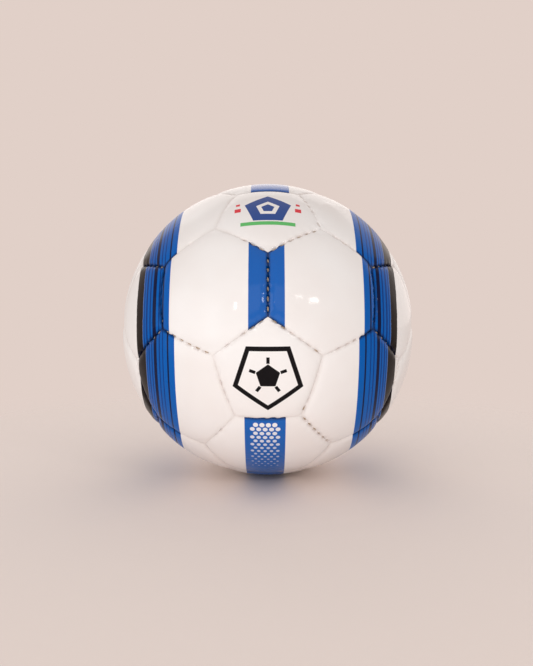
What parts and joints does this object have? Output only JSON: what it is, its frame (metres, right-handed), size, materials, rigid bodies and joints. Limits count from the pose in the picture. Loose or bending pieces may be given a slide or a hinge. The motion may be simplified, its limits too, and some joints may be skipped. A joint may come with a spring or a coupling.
{
  "type": "mini soccer ball",
  "caption": "Small stitched soccer ball of glossy pentagon and hexagon panels, cloth-lined, over an air bladder with a needle valve whose plug pulls out.",
  "frame": {"origin": "centre of the ball", "axes": "+Z out through the needle valve in the middle of the top hexagon, -Y the front, where two pentagons stand above each other on the X = 0 plane"},
  "size_m": [0.142, 0.1428, 0.1429],
  "materials": {
    "panel_white": "glossy PVC",
    "panel_blue": "glossy printed PVC",
    "lining": "woven cloth",
    "thread": "waxed",
    "bladder": "smooth",
    "valve": "satin",
    "plug": "satin"
  },
  "bodies": {
    "ball": {"pentagon_panel_01": "panel_white", "pentagon_panel_02": "panel_white", "pentagon_panel_03": "panel_white", "pentagon_panel_04": "panel_blue", "pentagon_panel_05": "panel_blue", "pentagon_panel_06": "panel_white", "pentagon_panel_07": "panel_blue", "pentagon_panel_08": "panel_white", "pentagon_panel_09": "panel_blue", "pentagon_panel_10": "panel_white", "pentagon_panel_11": "panel_white", "pentagon_panel_12": "panel_white", "hexagon_panel_01": "panel_white", "hexagon_panel_02": "panel_white", "hexagon_panel_03": "panel_white", "hexagon_panel_04": "panel_white", "hexagon_panel_05": "panel_white", "hexagon_panel_06": "panel_white", "hexagon_panel_07": "panel_white", "hexagon_panel_08": "panel_white", "hexagon_panel_09": "panel_white", "hexagon_panel_10": "panel_white", "hexagon_panel_11": "panel_white", "hexagon_panel_12": "panel_white", "hexagon_panel_13": "panel_white", "hexagon_panel_14": "panel_white", "hexagon_panel_15": "panel_white", "hexagon_panel_16": "panel_white", "hexagon_panel_17": "panel_white", "hexagon_panel_18": "panel_white", "hexagon_panel_19": "panel_white", "hexagon_panel_20": "panel_white", "pentagon_linings": "lining", "hexagon_linings": "lining", "pentagon_seam_threads": "thread", "hexagon_seam_threads": "thread", "bladder": "bladder", "valve_housing": "valve"},
    "valve_plug": {"valve_plug": "plug"}
  },
  "joints": [
    {"name": "valve_plug_slide", "type": "slide", "parent": "ball", "child": "valve_plug", "axis": [0, 0, 1], "range_m": [0, 0.014]}
  ]
}
